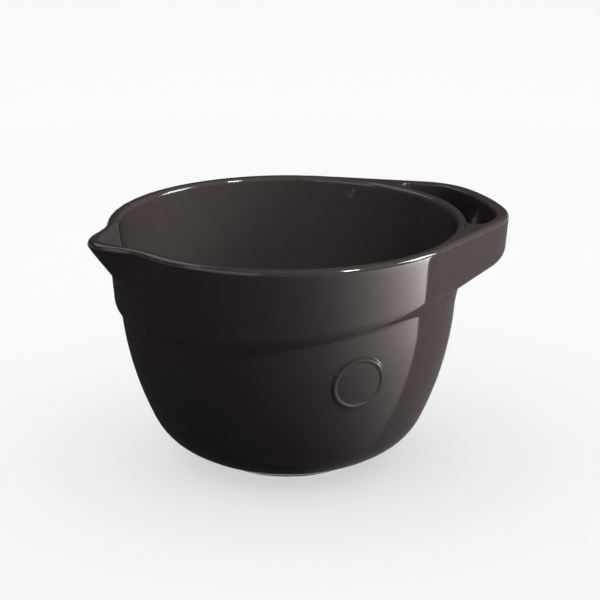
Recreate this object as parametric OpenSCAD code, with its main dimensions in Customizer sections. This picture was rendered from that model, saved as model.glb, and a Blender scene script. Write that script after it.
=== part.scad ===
// Batter bowl: a stoneware mixing bowl with a thick rim band, a pouring spout and a loop handle.
// The origin is on the bowl's axis where it stands, and +Z is up.
// The handle points along +X and the spout along -X.

/* [Bowl] */
// Inner diameter across the rim
bowl_d = 202; // [170:1:240]
// Height from the table to the rim
bowl_h = 148; // [130:1:180]
// Thickness of the wall
wall_t = 4.1; // [3.6:0.1:6]
// Thickness of the floor
floor_t = 5.5; // [4:0.1:8]
// Lean of the upper wall from upright, narrower towards the foot
wall_lean = 5; // [3:0.1:7]
// Radius of the long curve of the side
side_r = 195; // [160:1:240]
// Lean of the wall where the side curve ends
side_end = 25.7; // [22:0.1:30]
// Radius of the heel curve
heel_r = 41; // [32:1:52]
// Lean of the wall where the heel curve ends
heel_end = 58.6; // [54:0.1:63]
// Radius of the shallow curve under the heel
under_r = 119; // [100:1:140]
// Lean of the wall where it meets the foot
under_end = 69.5; // [66:0.1:73]
// Rounding of the rim's inner edge
rim_round = 2.9; // [1:0.1:3.2]

/* [Rim band] */
// How far the band stands out from the wall
band_t = 3.3; // [3:0.1:6]
// Rounding of the band's upper outer edge
band_round = 2.8; // [1:0.1:3.2]
// Depth of the band below the rim, at the bowl's axis
skirt_h = 42.5; // [37:0.5:48]
// Tilt of the band's lower edge, which climbs towards the handle
skirt_tilt = 6.4; // [3:0.1:8]
// Rounding of the band's lower edge
skirt_round = 9; // [6:0.5:10]

/* [Spout] */
// How far the spout's tip reaches past the band
spout_reach = 17.5; // [12:0.5:24]
// Half angle of the spout's outside at the rim
spout_spread = 19; // [15:0.5:23]
// Height of the keel, from the tip down to the band
keel_h = 26.5; // [18:0.5:27]
// Thickness of the spout's lip at its tip
lip_t = 8; // [6:0.1:10]
// Depth of the channel's foot below the rim
channel_h = 27.5; // [20:0.5:27.5]
// Half angle between the creases where the channel's flat sides leave the wall
channel_spread = 22; // [18:0.5:26]
// Depth of the notch that the spout is set into
notch_h = 30; // [28:0.5:32]
// Half angle of the notch
notch_spread = 35; // [30:0.5:40]

/* [Handle] */
// How far the handle reaches past the band
handle_reach = 28; // [20:0.5:34]
// Half angle of the handle where it leaves the band
handle_spread = 56; // [50:0.5:60]
// Rounding of the handle's corners, seen from above
handle_corner = 45; // [34:1:52]
// Thickness of the handle's bar
bar_t = 9.5; // [7:0.1:11]
// Thickness of the handle's arms
arm_t = 6.6; // [5.5:0.1:9]
// Rounding of the finger slot's corners beside the bar, seen from above
slot_corner = 33; // [24:1:38]
// Rounding of the finger slot's ends beside the wall, seen from above
slot_end = 6; // [5:0.1:7]
// Rounding of the slot's upper edges
slot_round = 1.8; // [1:0.1:2.2]
// How far the wall swells out behind the finger slot
slot_swell = 1.8; // [1:0.1:2.4]

/* [Medallion] */
// Diameter of the medallion
medal_d = 34; // [24:0.5:40]
// Width of its raised border
medal_border = 3; // [2:0.1:5]
// Height of the border above the wall
medal_relief = 1.4; // [0.8:0.1:2.5]
// Height of the field above the wall
medal_field = 0.5; // [0.3:0.1:0.7]
// Its direction from the handle
medal_angle = -88; // [-100:0.5:-75]
// Depth of its centre below the rim
medal_h = 72.5; // [66:0.5:80]

/* [Foot] */
// Height of the foot ring
foot_h = 2; // [1.5:0.1:4]
// Width of the foot ring
foot_w = 8; // [5:0.1:12]
// Step from the bowl's underside to the foot ring
foot_step = 2; // [1:0.1:4]
// Rounding of the foot ring's lower edges
foot_round = 0.8; // [0.4:0.1:1.2]

/* [Hidden] */
$fn = 120;
glaze = [0.20, 0.18, 0.18];
bare_clay = [0.78, 0.70, 0.60];
// A margin for cuts that run past a face
past = 1;
// Angle at which a rounding's arc crosses the faces that it joins
cross = 14;

// Upper wall and band: straight lines with one lean, given by their radius at the rim
rim_r = bowl_d / 2;
wall_top_r = rim_r + wall_t / cos(wall_lean);
band_top_r = wall_top_r + band_t;
slot_base_r = wall_top_r + slot_swell;
tip_r = band_top_r + spout_reach;
function leaning(top_r, depth) = top_r - depth * tan(wall_lean);

// The value that lies a share of the way from one to another
function mix(a, b, s) = a + s * (b - a);

// Outward direction of a wall that leans by an angle, in radius and height
function out(lean) = [cos(lean), -sin(lean)];

// Outer curves from the foot up, in radius and height: centre and start of each arc
under_drop = under_r * (sin(under_end) - sin(heel_end));
heel_drop = heel_r * (sin(heel_end) - sin(side_end));
side_drop = side_r * (sin(side_end) - sin(wall_lean));
side_z = foot_h + under_drop + heel_drop + side_drop;
side_start = [leaning(wall_top_r, bowl_h - side_z), side_z];
side_c = side_start - side_r * out(wall_lean);
heel_c = side_c + (side_r - heel_r) * out(side_end);
under_c = heel_c + (heel_r - under_r) * out(heel_end);
foot_edge = under_c + under_r * out(under_end);

// Hollow: the side curve moved in by the wall, then one curve down to a flat floor
floor_z = foot_h + floor_t;
hollow_start = side_start - wall_t * out(wall_lean);
hollow_mid = side_c + (side_r - wall_t) * out(side_end);
hollow_r = (hollow_mid.y - floor_z) / (1 - sin(side_end));
hollow_c = hollow_mid - hollow_r * out(side_end);

// Lower edge of the band and handle: height at the axis and climb along +X
skirt_climb = tan(skirt_tilt);
function skirt_depth(x) = skirt_h - skirt_climb * x;

// One slice of a disc between two leans
module slice(centre, r, lean_a, lean_b) {
    intersection() {
        translate(centre) circle(r);
        polygon([centre, centre + 2 * r * out(lean_a), centre + 2 * r * out(lean_b)]);
    }
}

// Half section of the bowl's outside, filled to the axis, grown outwards by a skin
module bowl_outline(skin = 0) {
    top_r = wall_top_r + skin / cos(wall_lean);
    intersection() {
        translate([0, foot_h]) square([2 * bowl_d, bowl_h - foot_h]);
        union() {
            polygon([
                [0, foot_h],
                foot_edge + skin * out(under_end),
                under_c + (under_r + skin) * out(heel_end),
                heel_c + (heel_r + skin) * out(side_end),
                side_start + skin * out(wall_lean),
                [top_r, bowl_h],
                [0, bowl_h]
            ]);
            slice(side_c, side_r + skin, wall_lean, side_end);
            slice(heel_c, heel_r + skin, side_end, heel_end);
            slice(under_c, under_r + skin, heel_end, under_end);
        }
    }
}

// Half section of the hollow, open at the rim
module bowl_hollow() {
    intersection() {
        translate([0, floor_z]) square([2 * bowl_d, bowl_h]);
        union() {
            polygon([
                [0, floor_z],
                [hollow_c.x, floor_z],
                hollow_mid,
                hollow_start,
                [leaning(rim_r, -past), bowl_h + past],
                [0, bowl_h + past]
            ]);
            slice(side_c, side_r - wall_t, wall_lean, side_end);
            slice(hollow_c, hollow_r, side_end, 90);
        }
    }
}

// What rounding takes off the corner between the rim's top and a face that leans, on its inner or outer side
module corner_waste(face_r, r, side) {
    // The arc crosses both faces at a slight angle, so that the surfaces meet cleanly
    set_in = r * cos(cross);
    centre = [leaning(face_r, r) - side * set_in, bowl_h - set_in];
    difference() {
        translate([side > 0 ? centre.x : centre.x - 2 * r, centre.y]) square([2 * r, 2 * r]);
        translate(centre) circle(r);
    }
}

// A wedge of the full height from one angle to another, about the bowl's axis
module wedge(middle, half, from_z) {
    far = 2 * tip_r;
    translate([0, 0, from_z])
        linear_extrude(bowl_h + past - from_z)
            polygon([
                [0, 0],
                far * [cos(middle - half), sin(middle - half)],
                far * [cos(middle), sin(middle)],
                far * [cos(middle + half), sin(middle + half)]
            ]);
}

module spout_notch() wedge(180, notch_spread, bowl_h - notch_h);

// Half section of the swelling behind the finger slot, which begins inside the wall and slopes back to it below
module swell_outline() {
    inside_r = wall_top_r - past;
    depth = skirt_depth(slot_base_r);
    back_depth = depth + slot_swell;
    polygon([
        [inside_r, bowl_h],
        [slot_base_r, bowl_h],
        [leaning(slot_base_r, depth), bowl_h - depth],
        [leaning(wall_top_r, back_depth), bowl_h - back_depth],
        [leaning(inside_r, back_depth), bowl_h - back_depth]
    ]);
}

module bowl_body() {
    color(glaze) difference() {
        union() {
            rotate_extrude() difference() {
                bowl_outline();
                bowl_hollow();
                corner_waste(rim_r, rim_round, -1);
            }
            rotate_extrude(angle = 2 * seat_angle, start = -seat_angle) swell_outline();
        }
        spout_notch();
        rotate_extrude(angle = 2 * seat_angle, start = -seat_angle)
            corner_waste(slot_base_r, slot_round, 1);
    }
}

// Waste below the band's rounded lower edge, in radius and height above the tilted edge.
// The face's radius is taken level with the rounding's centre.
module skirt_waste(face_r) {
    centre = [face_r - skirt_round * cos(cross), skirt_round];
    inside = face_r - 3 * band_t;
    width = 6 * band_t;
    deep = bowl_h / 2;
    difference() {
        union() {
            translate([inside, -deep]) square([width, deep]);
            translate([centre.x, -deep]) square([width, deep + centre.y]);
        }
        translate(centre) circle(skirt_round);
    }
}

// Tilts what lies on a level edge, so that the edge climbs along +X
module tilt_skirt() {
    multmatrix([
        [1, 0, 0, 0],
        [0, 1, 0, 0],
        [skirt_climb, 0, 1, bowl_h - skirt_h],
        [0, 0, 0, 1]
    ]) children();
}

module rim_band() {
    skirt_face_r = leaning(band_top_r, skirt_h - skirt_round);
    deepest = skirt_depth(-band_top_r) + past;
    // The band is narrower where its edge hangs lower, so the tilted edge is centred this far towards +X
    shift = skirt_face_r * skirt_climb * tan(wall_lean);
    color(glaze) difference() {
        rotate_extrude() difference() {
            polygon([
                [leaning(rim_r, deepest), bowl_h - deepest],
                [leaning(band_top_r, deepest), bowl_h - deepest],
                [band_top_r, bowl_h],
                [rim_r, bowl_h]
            ]);
            corner_waste(band_top_r, band_round, 1);
            bowl_outline();
        }
        wedge(0, handle_spread, 0);
        spout_notch();
        translate([shift, 0, 0]) tilt_skirt() rotate_extrude() skirt_waste(skirt_face_r);
    }
}

// Spout: sections on upright planes through the axis, one for each angle from the spout's middle
channel_steps = 18;
side_steps = 5;
// Share of the sections' spacing that is even, where the rest draws them together at the tip
even_share = 0.4;
// A smooth hump over the angles within a half angle, with its power
hump_power = 2.2;
function hump(angle, half) = abs(angle) < half ? pow(cos(90 * angle / half), hump_power) : 0;
// Share of the beak left at a depth, and its outside, which is narrower at the foot of the keel by a share
keel_foot_share = 0.55;
function beak(depth) = max(0, 1 - depth / keel_h);
function beak_half(depth) = spout_spread * mix(keel_foot_share, 1, beak(depth));
function beak_r(angle, depth) =
    leaning(band_top_r, depth) + spout_reach * beak(depth) * hump(angle, beak_half(depth));
// The channel's two sides are flat: from above they are straight lines from the creases on the wall to the
// lip's inner tip, which is blunt over a small angle
lip_blunt_angle = 2;
function blunted(angle) = norm([angle, lip_blunt_angle]) - lip_blunt_angle;
function channel_angle(angle) = channel_spread * blunted(angle) / blunted(channel_spread);
function channel_r(angle, depth) =
    let (
        wall_r = leaning(rim_r, depth),
        inner_tip_r = wall_r + (tip_r - lip_t - rim_r) * max(0, 1 - depth / channel_h),
        a = min(channel_spread, channel_angle(angle))
    )
    sin(channel_spread) / (sin(channel_spread - a) / inner_tip_r + sin(a) / wall_r);
// Share of the lip's thickness that its two roundings may take
lip_round_share = 0.8;
channel_shares = [0, 0.25, 0.5, 0.75];
flank_shares = [0, 0.25, 0.5, 0.75, 1];

function spout_section(angle) =
    let (
        thickness = beak_r(angle, 0) - channel_r(angle, 0),
        share = min(1, lip_round_share * thickness / (rim_round + band_round)),
        round_in = rim_round * share,
        round_out = band_round * share
    )
    concat(
        [[leaning(rim_r, notch_h), notch_h]],
        [for (s = channel_shares)
            let (depth = mix(channel_h, round_in, s)) [channel_r(angle, depth), depth]],
        [for (a = [0, 30, 60, 90])
            let (depth = round_in * (1 - sin(a)))
            [channel_r(angle, depth) + round_in * (1 - cos(a)), depth]],
        [for (a = [90, 60, 30])
            let (depth = round_out * (1 - sin(a)))
            [beak_r(angle, depth) - round_out * (1 - cos(a)), depth]],
        [for (s = flank_shares)
            let (depth = mix(round_out, keel_h, s)) [beak_r(angle, depth), depth]],
        [[leaning(band_top_r, notch_h), notch_h]]
    );

// A closed solid through a row of sections with as many points each
module loft(rows) {
    count = len(rows[0]);
    last = len(rows) - 1;
    polyhedron(
        points = [for (row = rows, p = row) p],
        faces = concat(
            [[for (j = [0 : count - 1]) j]],
            [for (i = [0 : last - 1], j = [0 : count - 1], half = [0, 1])
                let (a = i * count + j, b = i * count + (j + 1) % count)
                half == 0 ? [a, a + count, b] : [b, a + count, b + count]],
            [[for (j = [count - 1 : -1 : 0]) last * count + j]]
        )
    );
}

module pour_spout() {
    half_angles = concat(
        [for (i = [0 : channel_steps])
            let (s = i / channel_steps) channel_spread * s * mix(s, 1, even_share)],
        [for (i = [1 : side_steps]) mix(channel_spread, notch_spread, i / side_steps)]
    );
    last = len(half_angles) - 1;
    color(glaze) loft([for (i = [-last : last])
        let (a = sign(i) * half_angles[abs(i)])
        [for (p = spout_section(a))
            [-p.x * cos(a), p.x * sin(a), bowl_h - p.y]]]);
}

// Handle: at the rim, its outline is two flats that leave the band, two round corners and a round end.
// The finger slot lies between the wall, the bar and the arms, which keep parallel to the flats.
function dir(angle) = [cos(angle), sin(angle)];
// Angle at which a point at a distance from the axis lies a given way along the flats' outward direction
function flat_angle(way, dist) = handle_spread - acos(way / dist);
end_top_r = band_top_r + handle_reach;
slot_top_r = end_top_r - bar_t;
arm_way = band_top_r - arm_t;
corner_dist = end_top_r - handle_corner;
corner_angle = flat_angle(band_top_r - handle_corner, corner_dist);
corner_c = corner_dist * dir(corner_angle);
slot_corner_dist = slot_top_r - slot_corner;
slot_corner_angle = flat_angle(arm_way - slot_corner, slot_corner_dist);
slot_corner_c = slot_corner_dist * dir(slot_corner_angle);
slot_end_dist = slot_base_r + slot_end;
slot_end_angle = flat_angle(arm_way - slot_end, slot_end_dist);
slot_end_c = slot_end_dist * dir(slot_end_angle);
flat_start = corner_c + handle_corner * dir(handle_spread);
flat_end = band_top_r * dir(handle_spread);
arm_start = slot_corner_c + slot_corner * dir(handle_spread);
arm_end = slot_end_c + slot_end * dir(handle_spread);
// The slot's end turns this share of the way back to the wall, and the arm is seated on the wall from there
end_turn_share = 0.85;
end_turn = end_turn_share * (180 + slot_end_angle - handle_spread);
end_stop = slot_end_c + slot_end * dir(handle_spread + end_turn);
seat_angle = atan2(end_stop.y, end_stop.x);

// Stations from the middle of the bar to the band, in five stretches: bar, corner, arm, slot end and seat.
// Each holds a slot-side point, the way into the clay there, an outer point and the way out of the clay.
bar_steps = 3;
corner_steps = 9;
arm_steps = 2;
end_steps = 6;
seat_steps = 7;
seat_step = (handle_spread - seat_angle) / seat_steps;
// The seat's flat facets touch the round wall at their middles
seat_r = wall_top_r / cos(seat_step / 2);
// Shares of the flat that lie beside the arm and beside the slot's end, and a step so that no point repeats
arm_share = norm(arm_end - arm_start) / norm(flat_end - flat_start);
end_share = arm_share + slot_end / norm(flat_end - flat_start);
seat_share = end_share + 0.03;
function on_flat(s) = mix(flat_start, flat_end, s);
function bar_station(s) =
    let (slot_way = dir(s * slot_corner_angle), out_way = dir(s * corner_angle))
    [slot_top_r * slot_way, slot_way, end_top_r * out_way, out_way];
function corner_station(s) =
    let (
        slot_way = dir(mix(slot_corner_angle, handle_spread, s)),
        out_way = dir(mix(corner_angle, handle_spread, s))
    )
    [slot_corner_c + slot_corner * slot_way, slot_way, corner_c + handle_corner * out_way, out_way];
function arm_station(s) =
    let (way = dir(handle_spread))
    [mix(arm_start, arm_end, s), way, on_flat(s * arm_share), way];
function end_station(s) =
    let (slot_way = dir(handle_spread + s * end_turn))
    [slot_end_c + slot_end * slot_way, slot_way, on_flat(mix(arm_share, end_share, s)), dir(handle_spread)];
function seat_station(s) =
    [
        seat_r * dir(mix(seat_angle, handle_spread, s)),
        [0, 0],
        on_flat(mix(seat_share, 1, s)),
        dir(handle_spread)
    ];
half_loop = concat(
    [for (i = [0 : bar_steps]) bar_station(i / bar_steps)],
    [for (i = [1 : corner_steps]) corner_station(i / corner_steps)],
    [for (i = [1 : arm_steps]) arm_station(i / arm_steps)],
    [for (i = [1 : end_steps]) end_station(i / end_steps)],
    [for (i = [0 : seat_steps]) seat_station(i / seat_steps)]
);

// Closed section of the handle at a station: points from the slot's lower edge over the top and round below
function loop_section(station) =
    let (
        slot_p = station[0],
        slot_way = station[1],
        out_p = station[2],
        out_way = station[3],
        seated = norm(slot_way) == 0,
        fall = tan(wall_lean),
        axis_way = slot_p / norm(slot_p),
        // Where the clay behind the slot thins out towards the wall, the rounding is limited by what is there
        towards = -slot_way * axis_way,
        edge_round = towards > 0 ? min(slot_round, (norm(slot_p) - slot_base_r) / towards) : slot_round,
        width = (out_p - slot_p) * out_way,
        last = width < skirt_round ? acos(1 - width / skirt_round) : 90,
        depth_out = skirt_depth(out_p.x),
        rise = skirt_round * (1 - sin(last)),
        slot_foot = slot_p - axis_way * (skirt_depth(slot_p.x) - rise) * fall
    )
    concat(
        [[slot_foot.x, slot_foot.y, bowl_h - skirt_depth(slot_foot.x) + rise]],
        [for (a = [0, 45, 90])
            let (
                depth = edge_round * (1 - (seated ? a / 90 : sin(a))),
                inset = seated ? 0 : edge_round * (1 - cos(a)),
                p = slot_p + slot_way * inset - axis_way * depth * fall
            )
            [p.x, p.y, bowl_h - depth]],
        [for (a = [90, 60, 30, 0])
            let (
                depth = band_round * (1 - sin(a)),
                p = out_p - out_way * (band_round * (1 - cos(a)) + depth * fall)
            )
            [p.x, p.y, bowl_h - depth]],
        [for (share = [0, 0.25, 0.5, 0.75])
            let (
                a = share * last,
                p = out_p - out_way * (skirt_round * (1 - cos(a)) + depth_out * fall)
            )
            [p.x, p.y, bowl_h - skirt_depth(p.x) + skirt_round * (1 - sin(a))]]
    );

module loop_handle() {
    last = len(half_loop) - 1;
    rows = [for (i = [-last : last])
        [for (p = loop_section(half_loop[abs(i)])) [p.x, i < 0 ? -p.y : p.y, p.z]]];
    color(glaze) loft(rows);
}

// A frame on the wall where the medallion sits: its origin on the wall, +Z out of it
medal_lean = asin((side_c.y - (bowl_h - medal_h)) / side_r);
medal_spot = side_c + side_r * out(medal_lean);
module on_wall() {
    rotate([0, 0, medal_angle])
        translate([medal_spot.x, 0, medal_spot.y])
            rotate([0, 90 + medal_lean, 0])
                children();
}

module medallion() {
    reach = medal_d / 2;
    color(glaze) difference() {
        intersection() {
            on_wall() translate([0, 0, -reach]) cylinder(d = medal_d, h = 2 * reach);
            rotate_extrude() bowl_outline(medal_relief);
        }
        rotate_extrude() bowl_outline();
        difference() {
            on_wall() translate([0, 0, -reach]) cylinder(d = medal_d - 2 * medal_border, h = 2 * reach);
            rotate_extrude() bowl_outline(medal_field);
        }
    }
}

module foot_ring() {
    outer = foot_edge.x - foot_step;
    inner = outer - foot_w;
    color(bare_clay) rotate_extrude() polygon([
        [inner, foot_h],
        [inner, foot_round],
        [inner + foot_round, 0],
        [outer - foot_round, 0],
        [outer, foot_round],
        [outer, foot_h]
    ]);
}

bowl_body();
rim_band();
pour_spout();
loop_handle();
medallion();
foot_ring();
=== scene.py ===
"""Looks of a batter bowl: glazed stoneware with a rim band, a pouring spout and a loop handle.

Every piece is modelled in metres in the frame's own axes: Z is the bowl's axis, the handle points along +X
and the spout along -X. A point of a half section is a pair of radius and height. Angles are in degrees.
"""

import logging
import math
from collections.abc import Callable, Sequence
from dataclasses import dataclass, replace
from enum import Enum

import bmesh
import bpy
import numpy as np
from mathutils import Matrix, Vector


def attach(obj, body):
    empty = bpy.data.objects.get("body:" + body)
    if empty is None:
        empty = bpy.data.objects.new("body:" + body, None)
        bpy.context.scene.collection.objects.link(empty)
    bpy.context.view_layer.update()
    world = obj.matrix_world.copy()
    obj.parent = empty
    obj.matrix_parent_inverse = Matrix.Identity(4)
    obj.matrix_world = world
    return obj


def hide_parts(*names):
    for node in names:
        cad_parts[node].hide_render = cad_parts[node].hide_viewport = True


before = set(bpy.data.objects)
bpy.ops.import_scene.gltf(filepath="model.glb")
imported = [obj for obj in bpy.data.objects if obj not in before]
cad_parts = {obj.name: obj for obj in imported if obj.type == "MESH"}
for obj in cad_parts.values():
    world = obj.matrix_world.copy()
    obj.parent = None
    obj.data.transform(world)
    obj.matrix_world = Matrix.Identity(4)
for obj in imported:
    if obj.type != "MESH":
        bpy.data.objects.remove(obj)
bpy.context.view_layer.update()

LOG = logging.getLogger("batter_bowl")
MM = 0.001
MERGE_REACH = 0.001 * MM
SEAT_REACH = 0.1 * MM
SMOOTH_ANGLE = 38.0
EDGE_MASK = "glaze_break_and_sheen"
# How strongly the glaze is painted paler over the roundings of the rim and of the lower edge: partly where
# the glaze breaks there, partly a painted highlight along them.
RIM_BREAK_AND_SHEEN = 4.0
SKIRT_BREAK_AND_SHEEN = 2.8
ROUND_STEPS = 360
EDGE_STEPS = 10
SKIRT_STEPS = 14

Pair = tuple[float, float]
Triple = tuple[float, float, float]
Face = Callable[[float], float]
Number = float | np.ndarray

AXIS: Pair = (0.0, 0.0)
NONE_TO_ALL: Pair = (0.0, 1.0)


class Slot(Enum):
    """Material slots of the record."""

    GLAZE = "glaze"
    BARE_CLAY = "bare_clay"


def cosd(angle: float) -> float:
    """Cosine of an angle in degrees."""
    return math.cos(math.radians(angle))


def sind(angle: float) -> float:
    """Sine of an angle in degrees."""
    return math.sin(math.radians(angle))


def tand(angle: float) -> float:
    """Tangent of an angle in degrees."""
    return math.tan(math.radians(angle))


def acosd(value: float) -> float:
    """Angle in degrees whose cosine is a value."""
    return math.degrees(math.acos(value))


def mix(a: Number, b: Number, share: float) -> Number:
    """The value that lies a share of the way from one to another."""
    return a + share * (b - a)


def mix_pair(a: Pair, b: Pair, share: float) -> Pair:
    """The point that lies a share of the way from one to another."""
    return mix(a[0], b[0], share), mix(a[1], b[1], share)


def steps(start: float, end: float, count: int) -> list[float]:
    """Evenly spaced values from start to end, both included."""
    return [mix(start, end, i / (count - 1)) for i in range(count)]


def smooth_max(a: float, b: float, reach: float) -> float:
    """Larger of two values, rounded off where they differ by less than a reach."""
    overlap = max(0.0, reach - abs(a - b)) / reach
    return max(a, b) + overlap * overlap * reach / 4


def smooth_step(share: Number) -> Number:
    """Smooth rise from nothing at a share of nothing to one at a share of one."""
    limited = np.clip(share, 0.0, 1.0)
    return limited * limited * (3.0 - 2.0 * limited)


def bend(start: Pair, corner: Pair, end: Pair, count: int) -> list[Pair]:
    """Soft bend between two points, drawn towards the corner between them.

    Args:
        start: First point of the bend.
        corner: Point that both ends aim at.
        end: Last point of the bend.
        count: Number of points, both ends included.

    Returns:
        The points of the bend.
    """
    return [
        mix_pair(mix_pair(start, corner, s), mix_pair(corner, end, s), s) for s in steps(0.0, 1.0, count)
    ]


def way_out(lean: float) -> Pair:
    """Outward direction of a wall that leans, in radius and height."""
    return cosd(lean), -sind(lean)


def along(start: Pair, way: Pair, length: float) -> Pair:
    """The point at a length along a way from a start."""
    return start[0] + length * way[0], start[1] + length * way[1]


def ring_dir(angle: float) -> Pair:
    """Level direction at an angle from the handle."""
    return cosd(angle), sind(angle)


def lean_arc(centre: Pair, radius: float, start: float, end: float, count: int) -> list[Pair]:
    """Arc of a half section between two leans.

    Args:
        centre: Centre of the arc.
        radius: Its radius.
        start: Lean of the wall at its first point.
        end: Lean of the wall at its last point.
        count: Number of points, both ends included.

    Returns:
        The points of the arc.
    """
    return [along(centre, way_out(lean), radius) for lean in steps(start, end, count)]


def plan_arc(centre: Pair, radius: float, start: float, end: float, count: int) -> list[Pair]:
    """Level arc between two directions.

    Args:
        centre: Centre of the arc.
        radius: Its radius.
        start: Angle of its first point, from the handle.
        end: Angle of its last point.
        count: Number of points, both ends included.

    Returns:
        The points of the arc.
    """
    return [along(centre, ring_dir(angle), radius) for angle in steps(start, end, count)]


@dataclass(frozen=True)
class BowlForm:
    """Driving sizes of the whole bowl and the lines that its pieces share."""

    height: float = 148 * MM
    rim_r: float = 101 * MM
    wall_t: float = 4.1 * MM
    floor_t: float = 5.5 * MM
    wall_lean: float = 5.0
    side_r: float = 195 * MM
    side_end: float = 25.7
    heel_r: float = 41 * MM
    heel_end: float = 58.6
    under_r: float = 119 * MM
    under_end: float = 69.5
    rim_round: float = 2.9 * MM
    foot_h: float = 2 * MM
    band_t: float = 3.3 * MM
    band_round: float = 2.8 * MM
    skirt_h: float = 43.1 * MM
    skirt_tilt: float = 6.2
    skirt_round: float = 9 * MM
    crease_size: float = 2.2 * MM
    notch_h: float = 30 * MM
    notch_spread: float = 35.0
    handle_spread: float = 56.0
    slot_round: float = 1.4 * MM
    swell: float = 1.8 * MM
    swell_fade: float = 14.0
    swell_low: Pair = (34 * MM, 50 * MM)

    @property
    def fall(self) -> float:
        """How much the wall narrows for each unit of depth."""
        return tand(self.wall_lean)

    @property
    def wall_top_r(self) -> float:
        """Outer radius of the wall at the rim."""
        return self.rim_r + self.wall_t / cosd(self.wall_lean)

    @property
    def band_top_r(self) -> float:
        """Outer radius of the band at the rim."""
        return self.wall_top_r + self.band_t

    @property
    def slot_base_r(self) -> float:
        """Outer radius at the rim of the wall's swelling behind the finger slot."""
        return self.wall_top_r + self.swell

    def leaning(self, top_r: float, depth: float) -> float:
        """Radius at a depth below the rim of a face that leans as the wall does."""
        return top_r - depth * self.fall

    def skirt_depth(self, x: Number) -> Number:
        """Depth of the lower edge of the band and handle, which climbs towards the handle."""
        return self.skirt_h - tand(self.skirt_tilt) * x

    @property
    def side_start(self) -> Pair:
        """Point where the straight upper wall turns into the side's curve.

        Returns:
            Its radius and height, from which the curves below it end at the foot.
        """
        drop = (
            self.under_r * (sind(self.under_end) - sind(self.heel_end))
            + self.heel_r * (sind(self.heel_end) - sind(self.side_end))
            + self.side_r * (sind(self.side_end) - sind(self.wall_lean))
        )
        height = self.foot_h + drop
        return self.leaning(self.wall_top_r, self.height - height), height

    @property
    def side_c(self) -> Pair:
        """Centre of the side's curve."""
        return along(self.side_start, way_out(self.wall_lean), -self.side_r)

    @property
    def heel_c(self) -> Pair:
        """Centre of the heel's curve."""
        return along(self.side_c, way_out(self.side_end), self.side_r - self.heel_r)

    @property
    def under_c(self) -> Pair:
        """Centre of the shallow curve under the heel."""
        return along(self.heel_c, way_out(self.heel_end), self.heel_r - self.under_r)

    @property
    def foot_edge(self) -> Pair:
        """Point where the bowl's outside meets its flat underside."""
        return along(self.under_c, way_out(self.under_end), self.under_r)

    def inner_edge(self, face_r: Face, lean: float, size: float, count: int) -> list[Pair]:
        """Rounding between an inner face and the rim's flat top.

        Args:
            face_r: Radius of the face at a depth.
            lean: Lean of the face from upright.
            size: Radius of the rounding.
            count: Number of points, both ends included.

        Returns:
            Points of radius and depth from the face to the top.
        """
        centre_r = face_r(size) + size / cosd(lean)
        return [
            (centre_r + size * cosd(a), size - size * sind(a)) for a in steps(180.0 - lean, 90.0, count)
        ]

    def outer_edge(self, face_r: Face, lean: float, size: float, count: int) -> list[Pair]:
        """Rounding between the rim's flat top and an outer face.

        Args:
            face_r: Radius of the face at a depth.
            lean: Lean of the face from upright, inwards below.
            size: Radius of the rounding.
            count: Number of points, both ends included.

        Returns:
            Points of radius and depth from the top to the face.
        """
        centre_r = face_r(size) - size / cosd(lean)
        return [(centre_r + size * cosd(a), size - size * sind(a)) for a in steps(90.0, -lean, count)]

    def skirt_last(self, width: float) -> float:
        """Angle below the level at which the rounded lower edge reaches a wall at a width from its face."""
        reach = width * cosd(self.wall_lean) / self.skirt_round
        return min(90.0, self.wall_lean + acosd(max(-1.0, 1.0 - reach)))

    def skirt_arc(self, last: float, count: int) -> list[Pair]:
        """Rounded lower edge of the band or handle, below the rounding's centre.

        Args:
            last: Angle below the level of its last point.
            count: Number of points, both ends included.

        Returns:
            Pairs of inset from the face and height above the lower edge. The inset is taken from the face
            level with the rounding's centre.
        """
        size = self.skirt_round
        middle = size / cosd(self.wall_lean)
        return [
            (middle - size * cosd(a), size * (1.0 - sind(a))) for a in steps(self.wall_lean, last, count)
        ]


FORM = BowlForm()


def begin_piece() -> None:
    """Leaves edit mode and clears the selection, so that operators act on the next piece alone."""
    if bpy.context.mode != "OBJECT":
        bpy.ops.object.mode_set(mode="OBJECT")
    bpy.ops.object.select_all(action="DESELECT")


def named_piece(name: str) -> bpy.types.Object:
    """Names the object that an operator has just added, and its mesh.

    Args:
        name: Name of the new piece.

    Returns:
        The object.
    """
    piece = bpy.context.object
    piece.name = name
    piece.data.name = name
    return piece


def draw_chain(name: str, points: Sequence[Triple]) -> bpy.types.Object:
    """Draws a chain of edges by extruding one point onwards, and stays in edit mode.

    Args:
        name: Name of the new piece.
        points: Places that the chain goes through.

    Returns:
        The new object, in edit mode with all of it selected.
    """
    begin_piece()
    bpy.ops.mesh.primitive_plane_add(size=MM, location=(0.0, 0.0, 0.0))
    piece = named_piece(name)
    bpy.ops.object.mode_set(mode="EDIT")
    bpy.ops.mesh.merge(type="CENTER")
    bpy.ops.transform.translate(value=points[0])
    for here, onwards in zip(points, points[1:]):
        move = Vector(onwards) - Vector(here)
        bpy.ops.mesh.extrude_vertices_move(TRANSFORM_OT_translate={"value": move})
    bpy.ops.mesh.select_all(action="SELECT")
    return piece


def spin_chain(turn: float, count: int) -> None:
    """Spins all of the piece in edit mode about the bowl's axis.

    Args:
        turn: Angle of the turn.
        count: Number of steps in it.
    """
    bpy.ops.mesh.select_all(action="SELECT")
    bpy.ops.mesh.spin(
        steps=count, angle=math.radians(turn), center=(0.0, 0.0, 0.0), axis=(0.0, 0.0, 1.0)
    )
    bpy.ops.mesh.select_all(action="SELECT")
    bpy.ops.mesh.remove_doubles(threshold=MERGE_REACH)


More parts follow.
